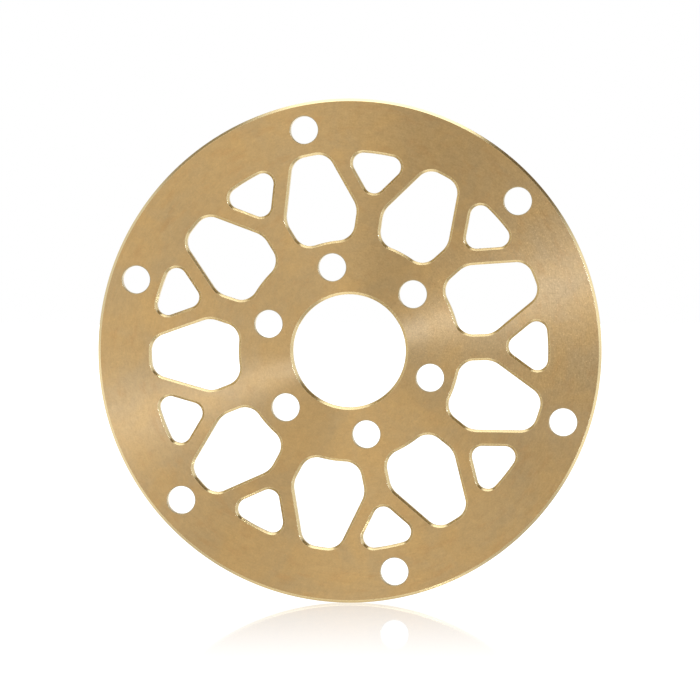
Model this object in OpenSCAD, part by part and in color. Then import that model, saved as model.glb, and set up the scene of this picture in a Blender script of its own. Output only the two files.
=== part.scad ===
// Perforated mounting disc.
// A flat round plate that stands on edge with its axis along Y and its front
// face towards -Y. The origin is the centre of the bore, half-way through the
// plate. A ring of large six-sided windows and a ring of small three-sided
// windows lighten it, and two circles of plain holes take screws: one near the
// bore for a hub and one near the rim for a ring.

/* [Plate] */
// Outside diameter of the disc
disc_d = 100; // [98:0.5:110]
// Thickness of the plate
disc_t = 3; // [2:0.25:6]
// Width of the 45 degree bevel around the rim, on both faces
rim_bevel = 0.5; // [0.2:0.05:0.8]
// Angle of the first bolt hole above the horizontal
clock_a = 41.5; // [0:0.5:60]

/* [Centre bore] */
// Diameter of the bore
bore_d = 22.4; // [16:0.1:24]
// Width of the 45 degree bevel around the bore, on both faces
bore_bevel = 0.5; // [0.2:0.05:0.8]

/* [Bolt holes] */
// Diameter of every bolt hole (medium clearance for an M5 screw)
bolt_d = 5.5; // [3.4:0.1:6]
// Number of holes on each of the two circles
bolt_n = 6; // [3:3:6]
// Diameter of the circle of holes near the bore
hub_pcd = 33.8; // [32.5:0.1:35]
// Diameter of the circle of holes near the rim
rim_pcd = 89.4; // [88:0.1:91]

/* [Windows] */
// Number of large windows, and of small windows between them
win_n = 9; // [9:1:10]
// Radius of the outer arc of every window, from the disc's centre
win_outer_r = 39.4; // [38.5:0.1:40]
// Radius of the inner arc of the large windows, from the disc's centre
win_inner_r = 22; // [21.5:0.1:23]
// Angle between a long side of a large window and the window's own radius
win_flare = 17.8; // [16:0.1:19]
// Distance from the disc's centre to the line of a long side
win_side = 15.35; // [15:0.05:15.6]
// Width of the rib between two large windows
hub_rib = 5.2; // [4.5:0.1:6]
// Width of the rib between a large and a small window
rim_rib = 3.2; // [2.6:0.1:3.6]
// Corner radius of a large window at its outer arc
outer_corner = 3.3; // [2.5:0.1:3.8]
// Corner radius of a large window where it is widest
wide_corner = 4.4; // [3:0.1:5]
// Corner radius of a large window at its inner arc
inner_corner = 3.4; // [2.5:0.1:3.8]
// Corner radius of a small window
small_corner = 2.1; // [1.5:0.1:2.4]
// Width of the 45 degree bevel around every window, on both faces
win_bevel = 0.45; // [0.2:0.05:0.6]

/* [Hidden] */
$fn = 96;
half = 180 / win_n;   // angle between a large window and the small one beside it
lap = 0.002;          // corner circles stand this far proud of the sides they blend into
over = 0.2;           // how far each cutter runs past the metal

// A direction, and the point at distance r along it
function dir(a) = [cos(a), sin(a)];
// Outer point where the line with normal angle a and offset d is r from the centre
function on_line(a, d, r) = d * dir(a) + sqrt(r * r - d * d) * dir(a - 90);
// Point where two lines meet, each given by its normal angle and offset
function meet(a, d, b, e) =
    [d * sin(b) - e * sin(a), e * cos(a) - d * cos(b)] / sin(b - a);
function ang(p) = atan2(p[1], p[0]);

// The upper corners of a window that points along +X: centre, radius, first and
// last direction of its arc, from the outer arc round to the inner end
long_n = 90 - win_flare;
short_n = 90 + half;
big_a = on_line(long_n, win_side - outer_corner, win_outer_r - outer_corner);
big_b = meet(long_n, win_side - wide_corner, short_n, -hub_rib / 2 - wide_corner);
big_c = on_line(short_n, -hub_rib / 2 - inner_corner, win_inner_r + inner_corner);
big_corners = [
    [big_a, outer_corner, ang(big_a), long_n],
    [big_b, wide_corner, long_n, short_n],
    [big_c, inner_corner, short_n, 180 + ang(big_c)]
];

tri_n = 90 + half + win_flare;
tri_d = -win_side - rim_rib;
tri_a = on_line(tri_n, tri_d - small_corner, win_outer_r - small_corner);
tri_b = [(tri_d - small_corner) / cos(tri_n), 0];
small_corners = [
    [tri_a, small_corner, ang(tri_a), tri_n],
    [tri_b, small_corner, tri_n, 180]
];

// Half of a window's outline as points: each corner's centre, with the ends of
// the straight sides on either side of it
function half_outline(c) = [
    for (k = c)
        for (p = [
            k[0] + (k[2] < 45 ? k[1] + over : k[1] - lap) * dir(k[2]),
            k[0],
            k[0] + (k[3] > 181 ? k[1] + over : k[1] - lap) * dir(k[3])
        ]) p
];
function flip(p) = [p[0], -p[1]];

module both_sides() {
    children();
    mirror([0, 1, 0]) children();
}

module both_faces() {
    children();
    mirror([0, 0, 1]) children();
}

// Outline of a window: straight sides between round corners, closed by arcs
// that run round the disc's own centre
module outline(c, inner_r) {
    h = half_outline(c);
    n = len(h);
    difference() {
        intersection() {
            polygon([for (i = [0:n - 1]) h[i], for (i = [n - 1:-1:0]) if (abs(h[i][1]) > 0.0001) flip(h[i])]);
            circle(r = win_outer_r - lap);
        }
        if (inner_r > 0) circle(r = inner_r + lap);
    }
    for (k = c) {
        translate(k[0]) circle(r = k[1]);
        if (k[0][1] > 0) translate(flip(k[0])) circle(r = k[1]);
    }
}

// Section of the bevel cutter, with u across the edge (into the metal) and the
// sharp edge of the face at u = win_bevel, z = 0
module bevel_section(u0, s = 1) {
    b = win_bevel;
    polygon([
        [u0 - s * over, over],
        [u0 - s * over, -b - over],
        [u0 + s * (b + over), over]
    ]);
}

// Bevel along one straight side, from the end of one corner to the next
module side_bevel(k, m) {
    p = k[0] + (k[1] - lap) * dir(k[3]);
    q = m[0] + (m[1] - lap) * dir(m[2]);
    len = norm(q - p);
    translate([p[0], p[1], disc_t / 2])
        rotate([0, 0, k[3] + 90])
            rotate([90, 0, 90])
                linear_extrude(height = len)
                    mirror([1, 0, 0]) bevel_section(0);
}

// Bevel around one window on the front face
module window_bevel(c, inner_r) {
    b = win_bevel;
    n = len(c);
    both_sides() {
        for (k = c)
            translate([k[0][0], k[0][1], disc_t / 2 - b - over])
                cylinder(h = b + 2 * over, r1 = k[1] - over, r2 = k[1] + b + over);
        for (i = [0:n - 2]) side_bevel(c[i], c[i + 1]);
    }
    a = c[0][2];
    translate([0, 0, disc_t / 2])
        rotate([0, 0, -a])
            rotate_extrude(angle = 2 * a) bevel_section(win_outer_r - lap);
    if (inner_r > 0) {
        e = c[n - 1][3] - 180;
        translate([0, 0, disc_t / 2])
            rotate([0, 0, -e])
                rotate_extrude(angle = 2 * e) bevel_section(inner_r + lap, -1);
    }
}

// Everything that is cut away for one window
module window(c, inner_r = 0) {
    translate([0, 0, -disc_t / 2 - over])
        linear_extrude(height = disc_t + 2 * over) outline(c, inner_r);
    both_faces() window_bevel(c, inner_r);
}

// Round plate with bevelled rim and bore, turned about its axis
module blank() {
    r = disc_d / 2;
    q = bore_d / 2;
    t = disc_t / 2;
    rotate_extrude()
        polygon([
            [q + bore_bevel, -t], [r - rim_bevel, -t], [r, -t + rim_bevel],
            [r, t - rim_bevel], [r - rim_bevel, t], [q + bore_bevel, t],
            [q, t - bore_bevel], [q, -t + bore_bevel]
        ]);
}

module bolt_circle(pcd) {
    for (i = [0:bolt_n - 1])
        rotate([0, 0, i * 360 / bolt_n])
            translate([pcd / 2, 0, -disc_t / 2 - over])
                cylinder(h = disc_t + 2 * over, d = bolt_d);
}

module disc_plate() {
    color("darkgoldenrod")
        rotate([90, 0, 0])
            rotate([0, 0, clock_a])
                difference() {
                    blank();
                    bolt_circle(hub_pcd);
                    bolt_circle(rim_pcd);
                    for (i = [0:win_n - 1]) {
                        rotate([0, 0, (2 * i + 1) * half]) window(big_corners, win_inner_r);
                        rotate([0, 0, 2 * i * half]) window(small_corners);
                    }
                }
}

disc_plate();
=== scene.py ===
import math

import bpy
import numpy as np
from mathutils import Matrix, Quaternion, Vector
from mathutils.geometry import delaunay_2d_cdt


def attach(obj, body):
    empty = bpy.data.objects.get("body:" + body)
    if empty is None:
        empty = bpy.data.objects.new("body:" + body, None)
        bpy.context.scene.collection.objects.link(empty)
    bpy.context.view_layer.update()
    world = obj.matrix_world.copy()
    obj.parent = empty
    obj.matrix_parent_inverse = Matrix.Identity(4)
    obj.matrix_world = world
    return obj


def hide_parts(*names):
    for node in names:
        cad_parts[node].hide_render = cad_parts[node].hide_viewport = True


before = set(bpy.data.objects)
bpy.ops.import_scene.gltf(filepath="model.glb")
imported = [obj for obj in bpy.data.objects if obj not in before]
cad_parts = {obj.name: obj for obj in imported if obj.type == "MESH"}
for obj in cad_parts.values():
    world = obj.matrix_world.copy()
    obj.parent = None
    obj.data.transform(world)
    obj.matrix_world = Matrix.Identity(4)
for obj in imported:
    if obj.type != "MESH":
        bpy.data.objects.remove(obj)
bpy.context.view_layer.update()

# ---------------------------------------------------------------- dimensions, in mm
DISC_R = 50.0
HALF_T = 1.5
RIM_BEVEL = 0.5
CLOCK = 41.5
BORE_R = 11.2
BOLT_R = 2.75
HUB_R = 33.8 / 2
RIM_R = 89.4 / 2
WIN_N = 9
OUTER_R = 39.4
INNER_R = 22.0
FLARE = 17.8
SIDE = 15.35
HUB_RIB = 5.2
RIM_RIB = 3.2
OUTER_C, WIDE_C, INNER_C, SMALL_C = 3.3, 4.4, 3.4, 2.1
WIN_BEVEL = 0.45
EDGE = 0.05          # radius of the broken corners between bevel, face and wall
BOLT_EDGE = 0.14     # edge break of the drilled holes
HALF = 180.0 / WIN_N


# ---------------------------------------------------------------- outlines
# An outline is a closed list of points in the plane of the disc with, at each
# point, the direction that leads from the edge into the metal.
def d(a):
    a = math.radians(a)
    return np.array([math.cos(a), math.sin(a)])


def ang(p):
    return math.degrees(math.atan2(p[1], p[0]))


def on_line(a, off, r):
    return off * d(a) + math.sqrt(r * r - off * off) * d(a - 90)


def meet(a, off_a, b, off_b):
    return np.linalg.solve(np.array([d(a), d(b)]), [off_a, off_b])


def arc(c, r, a0, a1, step, sign=1.0):
    n = max(2, int(math.ceil(abs(a1 - a0) / step)))
    return [(c + r * d(a0 + (a1 - a0) * i / n), sign * d(a0 + (a1 - a0) * i / n)) for i in range(n + 1)]


def straight(p, q, n, step=0.8):
    k = max(1, int(round(np.linalg.norm(q - p) / step)))
    return [(p + (q - p) * i / k, n) for i in range(1, k)]


def circle(r, n, c=(0.0, 0.0), sign=1.0):
    c = np.array(c)
    return [(c + r * d(360.0 * i / n), sign * d(360.0 * i / n)) for i in range(n)]


def mirrored(half):
    return [(np.array([p[0], -p[1]]), np.array([n[0], -n[1]])) for p, n in reversed(half)]


def large_window():
    a_long, a_short = 90 - FLARE, 90 + HALF
    c1 = on_line(a_long, SIDE - OUTER_C, OUTER_R - OUTER_C)
    c2 = meet(a_long, SIDE - WIDE_C, a_short, -HUB_RIB / 2 - WIDE_C)
    c3 = on_line(a_short, -HUB_RIB / 2 - INNER_C, INNER_R + INNER_C)
    a1, a3 = ang(c1), ang(c3)
    half = arc(c1, OUTER_C, a1, a_long, 3.5)
    half += straight(c1 + OUTER_C * d(a_long), c2 + WIDE_C * d(a_long), d(a_long))
    half += arc(c2, WIDE_C, a_long, a_short, 3.5)
    half += straight(c2 + WIDE_C * d(a_short), c3 + INNER_C * d(a_short), d(a_short))
    half += arc(c3, INNER_C, a_short, 180 + a3, 3.5)
    inner = arc(np.zeros(2), INNER_R, a3, -a3, 1.2, -1.0)[1:-1]
    outer = arc(np.zeros(2), OUTER_R, -a1, a1, 0.6)[1:-1]
    return half + inner + mirrored(half) + outer


def small_window():
    a_side = 90 + HALF + FLARE
    off = -SIDE - RIM_RIB
    c1 = on_line(a_side, off - SMALL_C, OUTER_R - SMALL_C)
    c2 = np.array([(off - SMALL_C) / math.cos(math.radians(a_side)), 0.0])
    a1 = ang(c1)
    half = arc(c1, SMALL_C, a1, a_side, 4.5)
    half += straight(c1 + SMALL_C * d(a_side), c2 + SMALL_C * d(a_side), d(a_side))
    half += arc(c2, SMALL_C, a_side, 180, 4.5)
    outer = arc(np.zeros(2), OUTER_R, -a1, a1, 0.6)[1:-1]
    return half + mirrored(half)[1:] + outer


def turned(outline, a):
    m = np.array([[math.cos(math.radians(a)), -math.sin(math.radians(a))],
                  [math.sin(math.radians(a)), math.cos(math.radians(a))]])
    return [(m @ p, m @ n) for p, n in outline]


# ---------------------------------------------------------------- edge profiles
# A profile runs from the front face over the edge to the back face: distance
# into the metal, depth, and the surface normal as (towards the opening, back).
def profile(bevel, edge, steps=3):
    if bevel > 0:
        t = edge * math.tan(math.radians(22.5))
        out = []
        for k in range(steps):            # face to bevel
            a = 45.0 * k / (steps - 1)
            out.append((bevel + t - edge * math.sin(math.radians(a)),
                        -HALF_T + edge - edge * math.cos(math.radians(a)), a))
        cx, cy = edge, -HALF_T + bevel + t
        for k in range(steps):            # bevel to wall
            a = 45.0 + 45.0 * k / (steps - 1)
            out.append((cx - edge * math.sin(math.radians(a)),
                        cy - edge * math.cos(math.radians(a)), a))
    else:
        out = []
        for k in range(steps + 1):
            a = 90.0 * k / steps
            out.append((edge - edge * math.sin(math.radians(a)),
                        -HALF_T + edge - edge * math.cos(math.radians(a)), a))
    back = [(u, -y, 180.0 - a) for u, y, a in reversed(out)]
    return [(u, y, math.sin(math.radians(a)), -math.cos(math.radians(a))) for u, y, a in out + back]


RIM_PROFILE = profile(RIM_BEVEL, EDGE)
WIN_PROFILE = profile(WIN_BEVEL, EDGE)
BOLT_PROFILE = profile(0, BOLT_EDGE, 5)

loops = [("rim", circle(DISC_R, 720, sign=-1.0), RIM_PROFILE),
         ("bore", circle(BORE_R, 300), RIM_PROFILE)]
for i in range(6):
    for r in (HUB_R, RIM_R):
        loops.append(("bolt", circle(BOLT_R, 72, r * d(CLOCK + 60 * i)), BOLT_PROFILE))
for i in range(WIN_N):
    loops.append(("large", turned(large_window(), CLOCK + (2 * i + 1) * HALF), WIN_PROFILE))
    loops.append(("small", turned(small_window(), CLOCK + 2 * i * HALF), WIN_PROFILE))

# ---------------------------------------------------------------- the disc's mesh
FACE, BEVEL, WALL, RIM_EDGE, DRILLED = 0, 1, 2, 3, 4
verts, normals, faces, mats = [], [], [], []
front_rings, back_rings = [], []
for kind, outline, prof in loops:
    n, m = len(outline), len(prof)
    base = len(verts)
    for u, y, nu, ny in prof:
        for p, k in outline:
            q = p + u * k
            verts.append((q[0], y, q[1]))
            normals.append((-nu * k[0], ny, -nu * k[1]))
    # which way the quads must wind, so that they face away from the metal
    v0, v1, v2 = (np.array(verts[base + k]) for k in (0, 1, n))
    flip = np.dot(np.cross(v1 - v0, v2 - v0), normals[base]) < 0
    for j in range(m - 1):
        band = (j + 0.5) / (m - 1)
        if kind == "bolt":
            mat = WALL if j == (m - 1) // 2 else DRILLED
        else:
            mat = WALL if j == (m - 1) // 2 else (RIM_EDGE if kind in ("rim", "bore") else BEVEL)
        for i in range(n):
            i2 = (i + 1) % n
            a, b, c, e = base + j * n + i, base + j * n + i2, base + (j + 1) * n + i2, base + (j + 1) * n + i
            faces.append((a, e, c, b) if flip else (a, b, c, e))
            mats.append(mat)
    front_rings.append(list(range(base, base + n)))
    back_rings.append(list(range(base + (m - 1) * n, base + m * n)))


def inside(points, poly):
    x, y = points[:, 0], points[:, 1]
    hit = np.zeros(len(points), bool)
    x0, y0 = poly[:, 0], poly[:, 1]
    x1, y1 = np.roll(x0, -1), np.roll(y0, -1)
    for a, b, c, e in zip(x0, y0, x1, y1):
        if b == e:
            continue
        cross = ((b > y) != (e > y)) & (x < (c - a) * (y - b) / (e - b) + a)
        hit ^= cross
    return hit


def fill(rings, front):
    flat = [i for ring in rings for i in ring]
    pts = [Vector((verts[i][0], verts[i][2])) for i in flat]
    edges, at = [], 0
    for ring in rings:
        edges += [(at + i, at + (i + 1) % len(ring)) for i in range(len(ring))]
        at += len(ring)
    co, _, tris, orig, _, _ = delaunay_2d_cdt(pts, edges, [], 0, 1e-6)
    assert len(co) == len(pts), "the outlines cross"
    back_to = {k: o[0] for k, o in enumerate(orig)}
    mid = np.array([(co[t[0]] + co[t[1]] + co[t[2]]) / 3 for t in tris])
    shape = np.array([verts[i] for i in flat])[:, (0, 2)]
    keep, at = np.ones(len(tris), bool), 0
    for k, ring in enumerate(rings):
        hit = inside(mid, shape[at:at + len(ring)])
        keep &= hit if k == 0 else ~hit
        at += len(ring)
    for t, k in zip(tris, keep):
        if not k:
            continue
        a, b, c = (flat[back_to[v]] for v in t)
        pa, pb, pc = (np.array(verts[v])[[0, 2]] for v in (a, b, c))
        ccw = (pb - pa)[0] * (pc - pa)[1] - (pb - pa)[1] * (pc - pa)[0] > 0
        faces.append((a, b, c) if ccw == front else (a, c, b))
        mats.append(FACE)


fill(front_rings, True)
fill(back_rings, False)

mesh = bpy.data.meshes.new("perforated_disc")
mesh.from_pydata([tuple(0.001 * c for c in v) for v in verts], [], faces)
mesh.validate(verbose=False)
mesh.polygons.foreach_set("use_smooth", [True] * len(mesh.polygons))
mesh.polygons.foreach_set("material_index", mats)
mesh.normals_split_custom_set_from_vertices(normals)
mesh.update()
disc = bpy.data.objects.new("perforated_disc", mesh)
bpy.context.scene.collection.objects.link(disc)


# ---------------------------------------------------------------- material helpers
class Nodes:
    def __init__(self, name):
        self.mat = bpy.data.materials.new(name)
        self.mat.use_nodes = True
        self.tree = self.mat.node_tree
        self.tree.nodes.clear()

    def new(self, kind, **props):
        n = self.tree.nodes.new(kind)
        for k, v in props.items():
            setattr(n, k, v)
        return n

    def put(self, value, socket):
        if hasattr(value, "is_output"):
            self.tree.links.new(value, socket)
        elif value is not None:
            socket.default_value = value

    def math(self, op, a, b=None, c=None, clamp=False):
        n = self.new("ShaderNodeMath", operation=op, use_clamp=clamp)
        for v, s in zip((a, b, c), n.inputs):
            self.put(v, s)
        return n.outputs[0]

    def vec(self, op, a, b=None, scale=None):
        n = self.new("ShaderNodeVectorMath", operation=op)
        self.put(a, n.inputs[0])
        if b is not None:
            self.put(b, n.inputs[1])
        if scale is not None:
            self.put(scale, n.inputs[3])
        return n.outputs[1] if op in ("LENGTH", "DOT_PRODUCT") else n.outputs[0]

    def xyz(self, x, y, z):
        n = self.new("ShaderNodeCombineXYZ")
        for v, s in zip((x, y, z), n.inputs):
            self.put(v, s)
        return n.outputs[0]

    def noise(self, vector, scale, detail=2.0, rough=0.5, distortion=0.0):
        n = self.new("ShaderNodeTexNoise")
        n.inputs["Scale"].default_value = scale
        n.inputs["Detail"].default_value = detail
        n.inputs["Roughness"].default_value = rough
        n.inputs["Distortion"].default_value = distortion
        self.put(vector, n.inputs["Vector"])
        return n.outputs[0]

    def span(self, v, a, b, c, e, smooth=False):
        n = self.new("ShaderNodeMapRange")
        n.interpolation_type = "SMOOTHSTEP" if smooth else "LINEAR"
        for k, x in zip(("From Min", "From Max", "To Min", "To Max"), (a, b, c, e)):
            self.put(x, n.inputs[k])
        self.put(v, n.inputs["Value"])
        return n.outputs["Result"]

    def mix(self, fac, a, b, blend="MIX"):
        n = self.new("ShaderNodeMix", data_type="RGBA", blend_type=blend)
        self.put(fac, n.inputs[0])
        self.put(a, n.inputs[6])
        self.put(b, n.inputs[7])
        return n.outputs[2]


def polar(m):
    """Position in mm in the disc's plane, its distance from the axis, and the
    unit radial direction."""
    tc = m.new("ShaderNodeTexCoord")
    sep = m.new("ShaderNodeSeparateXYZ")
    m.put(tc.outputs["Object"], sep.inputs[0])
    x = m.math("MULTIPLY", sep.outputs[0], 1000.0)
    z = m.math("MULTIPLY", sep.outputs[2], 1000.0)
    y = m.math("MULTIPLY", sep.outputs[1], 1000.0)
    flat = m.xyz(x, 0.0, z)
    r = m.vec("LENGTH", flat)
    radial = m.vec("NORMALIZE", flat)
    return x, y, z, r, radial


def principled(m):
    p = m.new("ShaderNodeBsdfPrincipled")
    out = m.new("ShaderNodeOutputMaterial")
    m.tree.links.new(p.outputs[0], out.inputs[0])
    p.inputs["Metallic"].default_value = 1.0
    return p


FACE_WARM = (0.524, 0.340, 0.141, 1)
FACE_PALE = (0.492, 0.339, 0.160, 1)
FRESH = (0.645, 0.520, 0.292, 1)     # bright metal of the bevels and walls


STAIN = (0.485, 0.292, 0.118, 1)


def turned_face():
    m = Nodes("brass_turned_face")
    x, y, z, r, radial = polar(m)
    sep = m.new("ShaderNodeSeparateXYZ")
    m.put(radial, sep.inputs[0])
    # streaks that run round the axis: slow along the circle, quick across it
    streak_at = m.xyz(m.math("MULTIPLY", sep.outputs[0], 16.0), m.math("MULTIPLY", sep.outputs[2], 16.0),
                      m.math("MULTIPLY", r, 2.6))
    streak = m.noise(streak_at, 1.0, 3.0, 0.6)
    fine_at = m.xyz(m.math("MULTIPLY", sep.outputs[0], 60.0), m.math("MULTIPLY", sep.outputs[2], 60.0),
                    m.math("MULTIPLY", r, 5.0))
    fine = m.noise(fine_at, 1.0, 2.0, 0.6)
    ring = m.noise(m.xyz(0.0, 0.0, m.math("MULTIPLY", r, 1.4)), 1.0, 4.0, 0.7)
    pos = m.xyz(x, y, z)
    blotch = m.noise(pos, 0.11, 3.0, 0.55, 0.6)
    grain = m.noise(pos, 2.6, 3.0, 0.7)
    mottle = m.noise(pos, 0.75, 2.0, 0.6)
    # bright flecks of grain, raised to painted highlight glints in the key light's bow-tie wedge
    fleck_and_glint = m.span(m.noise(pos, 3.6, 1.0, 0.5), 0.65, 0.74, 0.0, 1.0)
    tone = m.mix(m.span(blotch, 0.35, 0.65, 0.0, 1.0), FACE_WARM, FACE_PALE)
    # faint red-brown staining, drawn out along the turning marks
    stain_at = m.xyz(m.math("MULTIPLY", sep.outputs[0], 9.0), m.math("MULTIPLY", sep.outputs[2], 9.0),
                     m.math("MULTIPLY", r, 0.55))
    stain = m.span(m.noise(stain_at, 1.0, 3.0, 0.6), 0.50, 0.72, 0.0, 0.55, smooth=True)
    tone = m.mix(m.math("MULTIPLY", stain, m.span(r, 20.0, 48.0, 0.5, 1.0)), tone, STAIN)
    # painted highlight sparkle: the fine grain, speckle and bright flecks are made stronger in the wedge where the key
    # light's bow-tie highlight falls
    painted_sparkle_sector = m.vec("DOT_PRODUCT", radial, (math.cos(math.radians(16)), 0.0, math.sin(math.radians(16))))
    painted_sparkle_sector = m.span(painted_sparkle_sector, 0.80, 0.97, 0.0, 1.0, smooth=True)
    speckle_and_sparkle = m.span(painted_sparkle_sector, 0.0, 1.0, 0.40, 0.62)
    fac = m.math("ADD", m.math("MULTIPLY", m.math("SUBTRACT", streak, 0.5), 0.16),
                 m.math("MULTIPLY", m.math("SUBTRACT", fine, 0.5), m.span(painted_sparkle_sector, 0.0, 1.0, 0.16, 0.42)))
    fac = m.math("ADD", fac, m.math("MULTIPLY", m.math("SUBTRACT", grain, 0.5), speckle_and_sparkle))
    fac = m.math("ADD", fac, m.math("MULTIPLY", m.math("SUBTRACT", mottle, 0.5), 0.22))
    fac = m.math("ADD", fac, m.math("MULTIPLY", fleck_and_glint, m.span(painted_sparkle_sector, 0.0, 1.0, 0.06, 0.24)))
    # painted shade: the face is darkened a little towards +X and +Z and in a few narrow wedges round the axis, standing
    # in for uneven light across it
    painted_side_shade = m.math("ADD", m.math("MULTIPLY", x, -0.0017), m.math("MULTIPLY", z, -0.0007))
    for at, amount in ((198, -0.08), (342, -0.08), (78, -0.07), (40, -0.03)):
        facing = m.vec("DOT_PRODUCT", radial, (math.cos(math.radians(at)), 0.0, math.sin(math.radians(at))))
        painted_side_shade = m.math("ADD", painted_side_shade, m.span(facing, 0.88, 1.0, 0.0, amount, smooth=True))
    fac = m.math("ADD", fac, m.math("ADD", painted_side_shade, 1.0))
    tone = m.vec("SCALE", tone, scale=fac)
    p = principled(m)
    m.put(tone, p.inputs["Base Color"])
    rough = m.math("ADD", m.span(blotch, 0.3, 0.7, 0.40, 0.46), m.math("MULTIPLY", m.math("SUBTRACT", fine, 0.5), 0.10))
    rough = m.math("ADD", rough, m.math("MULTIPLY", m.math("SUBTRACT", grain, 0.5), 0.12))
    m.put(rough, p.inputs["Roughness"])
    p.inputs["Anisotropic"].default_value = 0.92
    m.put(radial, p.inputs["Tangent"])
    height = m.math("ADD", m.math("MULTIPLY", streak, 0.6), m.math("MULTIPLY", ring, 0.4))
    height = m.math("ADD", height, m.math("MULTIPLY", grain, 0.5))
    bump = m.new("ShaderNodeBump")
    bump.inputs["Strength"].default_value = 0.25
    bump.inputs["Distance"].default_value = 0.00003
    m.put(height, bump.inputs["Height"])
    m.put(bump.outputs[0], p.inputs["Normal"])
    return m.mat


def milled_edge(name, rough, bright=1.0, turned_marks=False):
    m = Nodes(name)
    x, y, z, r, radial = polar(m)
    pos = m.xyz(x, y, z)
    grain = m.noise(pos, 3.0, 3.0, 0.6)
    nicks = m.noise(pos, 9.0, 2.0, 0.5)
    k = m.math("ADD", m.math("MULTIPLY", m.math("SUBTRACT", grain, 0.5), 0.20), 1.0)
    tone = m.vec("SCALE", tuple(bright * c for c in FRESH[:3]), scale=k)
    p = principled(m)
    m.put(tone, p.inputs["Base Color"])
    m.put(m.span(grain, 0.3, 0.7, rough - 0.05, rough + 0.07), p.inputs["Roughness"])
    bump = m.new("ShaderNodeBump")
    bump.inputs["Strength"].default_value = 0.15
    bump.inputs["Distance"].default_value = 0.00001
    m.put(nicks, bump.inputs["Height"])
    m.put(bump.outputs[0], p.inputs["Normal"])
    return m.mat


mesh.materials.append(turned_face())
mesh.materials.append(milled_edge("brass_milled_bevel", 0.21))
mesh.materials.append(milled_edge("brass_cut_wall", 0.38))
mesh.materials.append(milled_edge("brass_turned_edge", 0.20))
# painted shade: the drilled hole rims take a darker copy (0.62) of the cut-metal colour, giving the holes a dark
# outline
mesh.materials.append(milled_edge("brass_drilled_edge_painted_shade", 0.34, 0.62))

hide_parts("disc_plate")
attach(disc, "root")

# ---------------------------------------------------------------- floor
FLOOR_Z = -DISC_R * 0.001
bpy.ops.mesh.primitive_plane_add(size=1.0, location=(0, 0, FLOOR_Z))
floor = bpy.context.object
floor.name = "floor"
floor.scale = (14.0, 14.0, 1.0)
m = Nodes("white_floor")
tc = m.new("ShaderNodeTexCoord")
geo = m.new("ShaderNodeNewGeometry")
sep = m.new("ShaderNodeSeparateXYZ")
m.put(geo.outputs["Position"], sep.inputs[0])
gloss = m.new("ShaderNodeBsdfGlossy")
gloss.inputs["Roughness"].default_value = 0.03
gloss.inputs["Color"].default_value = (1, 1, 1, 1)
glow = m.new("ShaderNodeEmission")
glow.inputs["Color"].default_value = (1, 1, 1, 1)
glow.inputs["Strength"].default_value = 1.0
both = m.new("ShaderNodeMixShader")
far = m.span(sep.outputs[1], -0.012, 0.02, 1.2, 1.85, smooth=True)
m.put(far, glow.inputs["Strength"])
m.put(m.span(sep.outputs[1], -0.26, 0.0, 0.0, 0.53), both.inputs[0])
m.tree.links.new(glow.outputs[0], both.inputs[1])
m.tree.links.new(gloss.outputs[0], both.inputs[2])
out = m.new("ShaderNodeOutputMaterial")
m.tree.links.new(both.outputs[0], out.inputs[0])
floor.data.materials.append(m.mat)

# ---------------------------------------------------------------- studio surroundings
world = bpy.data.worlds.new("studio")
bpy.context.scene.world = world
world.use_nodes = True
w = Nodes.__new__(Nodes)
w.tree = world.node_tree
w.tree.nodes.clear()
tc = w.new("ShaderNodeTexCoord")
sep = w.new("ShaderNodeSeparateXYZ")
w.put(tc.outputs["Generated"], sep.inputs[0])
elev = w.math("MULTIPLY", w.math("ARCSINE", sep.outputs[2]), 180 / math.pi)


def sky(stops):
    ramp = w.new("ShaderNodeValToRGB")
    w.put(w.span(elev, -90, 90, 0.0, 1.0), ramp.inputs[0])
    while len(ramp.color_ramp.elements) < len(stops):
        ramp.color_ramp.elements.new(0.5)
    for e, (deg, v) in zip(ramp.color_ramp.elements, stops):
        e.position = (deg + 90) / 180
        e.color = (v, v ** 1.15, v ** 1.45, 1)
    return ramp.outputs[0]


right = sky([(-90, 1.0), (30, 1.0), (36, 0.20), (59, 0.20), (65, 1.0), (90, 1.0)])
left = sky([(-90, 1.0), (36, 1.0), (43, 0.42), (60, 0.42), (65, 1.0), (90, 1.0)])
bg = w.new("ShaderNodeBackground")
w.put(w.mix(w.span(sep.outputs[0], -0.2, 0.2, 0.0, 1.0, smooth=True), left, right), bg.inputs["Color"])
bg.inputs["Strength"].default_value = 1.0
wout = w.new("ShaderNodeOutputWorld")
w.tree.links.new(bg.outputs[0], wout.inputs[0])


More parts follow.
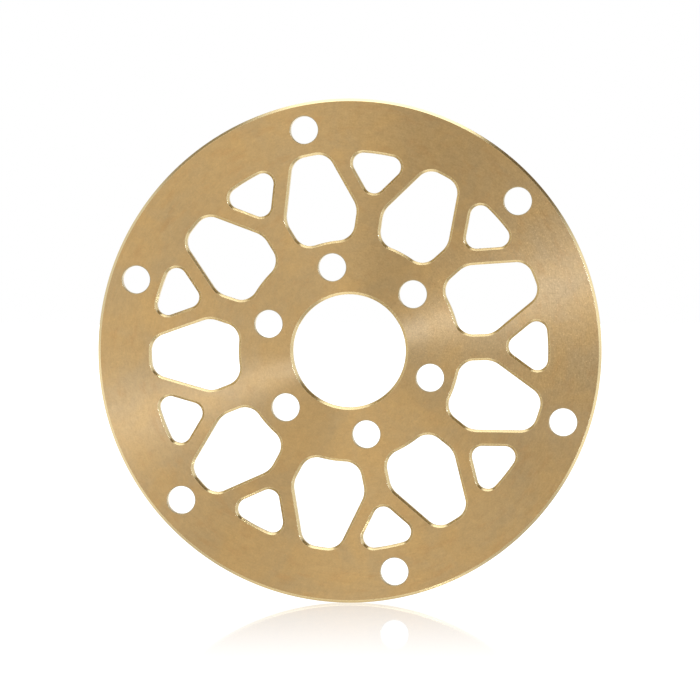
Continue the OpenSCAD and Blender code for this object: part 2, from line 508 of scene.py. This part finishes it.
def area(name, direction, distance, size, power, size_y=None, target=(0, 0, 0), along=None):
    light = bpy.data.lights.new(name, "AREA")
    light.shape = "RECTANGLE" if size_y else "SQUARE"
    light.size = size
    if size_y:
        light.size_y = size_y
    light.energy = power
    o = bpy.data.objects.new(name, light)
    bpy.context.scene.collection.objects.link(o)
    v = Vector(direction).normalized()
    o.location = Vector(target) + v * distance
    o.rotation_mode = "QUATERNION"
    o.rotation_quaternion = v.to_track_quat("Z", "Y")
    if along:
        t = Vector(along)
        t = (t - t.dot(v) * v).normalized()
        o.rotation_quaternion = Matrix((t, v.cross(t), v)).transposed().to_quaternion()
    o.visible_camera = False
    return o


def towards(off_axis, around):
    """Direction at an angle from -Y, tilted towards an angle in the disc's plane."""
    s, c = math.sin(math.radians(off_axis)), math.cos(math.radians(off_axis))
    return (s * math.cos(math.radians(around)), -c, s * math.sin(math.radians(around)))


area("key_bow_tie", towards(46, 18), 2.0, 0.62, 16.5, 0.20, along=towards(90, 18)).data.color = (0.45, 0.57, 0.95)
area("top_bank", (0.035, -0.05, 1), 0.7, 0.66, 1.35, 0.4).data.color = (0.96, 0.99, 1.0)
area("left_bank", (-1, 0.2, 0.1), 0.8, 0.6, 0.10, 0.9)
area("front_bank", towards(50, 112), 1.2, 1.0, 2.1, 0.5)
area("right_bank", (1, 0.12, 0.24), 0.8, 0.36, 0.24, 0.36).data.color = (0.94, 0.98, 1.0)

# ---------------------------------------------------------------- camera
DISTANCE = 1.2
AZ, EL, ROLL = 3.5, 0.7, -0.08
cam_data = bpy.data.cameras.new("camera")
cam = bpy.data.objects.new("camera", cam_data)
bpy.context.scene.collection.objects.link(cam)
a, e = math.radians(AZ), math.radians(EL)
away = Vector((math.sin(a) * math.cos(e), -math.cos(a) * math.cos(e), math.sin(e)))
cam.location = away * DISTANCE
cam.rotation_mode = "QUATERNION"
cam.rotation_quaternion = away.to_track_quat("Z", "Y") @ Quaternion((0, 0, 1), math.radians(ROLL))
cam_data.sensor_width = 36.0
cam_data.lens = 36.0 * DISTANCE / (700 / 5.038 * 0.001)
cam_data.shift_x = 0.37 / 700
cam_data.shift_y = 0.73 / 700
cam_data.clip_start, cam_data.clip_end = 0.01, 50.0
bpy.context.scene.camera = cam

scene = bpy.context.scene
scene.view_settings.view_transform = "Standard"
scene.view_settings.look = "None"
scene.view_settings.exposure = 0.0
scene.view_settings.gamma = 1.0
